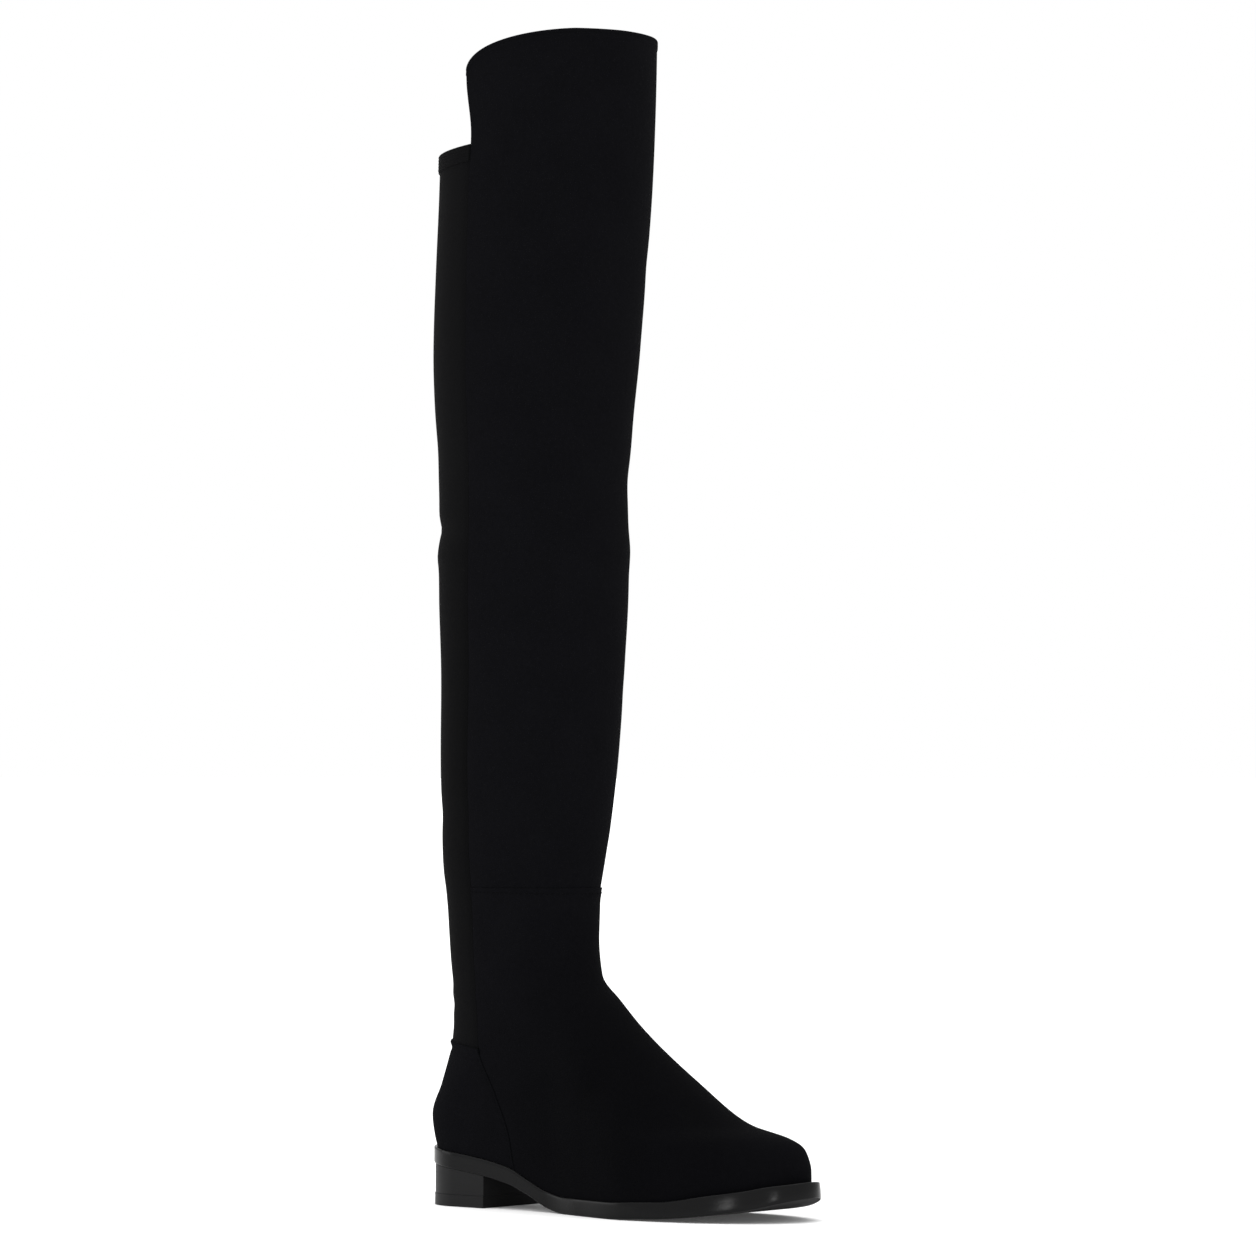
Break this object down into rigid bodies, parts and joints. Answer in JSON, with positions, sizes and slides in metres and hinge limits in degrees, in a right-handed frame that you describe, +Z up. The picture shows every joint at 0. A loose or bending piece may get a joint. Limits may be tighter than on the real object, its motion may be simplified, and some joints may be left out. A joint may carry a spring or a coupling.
{
  "type": "thigh high boot",
  "caption": "Black pull-on thigh high boot for a right foot, matte suede front, stretch back panel, almond toe, low block heel.",
  "frame": {"origin": "on the floor under the middle of the heel", "axes": "+X from heel to toe, +Y towards the wearer's left, which is the inner side of this right boot, +Z up the shaft"},
  "size_m": [0.2649, 0.1176, 0.6721],
  "materials": {
    "suede": "matte suede nap, black",
    "stretch": "stretch suede cloth with a faint sheen, black",
    "sole_rubber": "semi-gloss painted edge, black",
    "lining": "matte cloth lining, black"
  },
  "bodies": {
    "root": {"outsole": "sole_rubber", "heel_block": "sole_rubber", "heel_top_piece": "sole_rubber", "insole": "lining", "upper": "suede", "heel_counter": "suede", "shaft_front": "suede", "shaft_back": "stretch"}
  },
  "joints": []
}
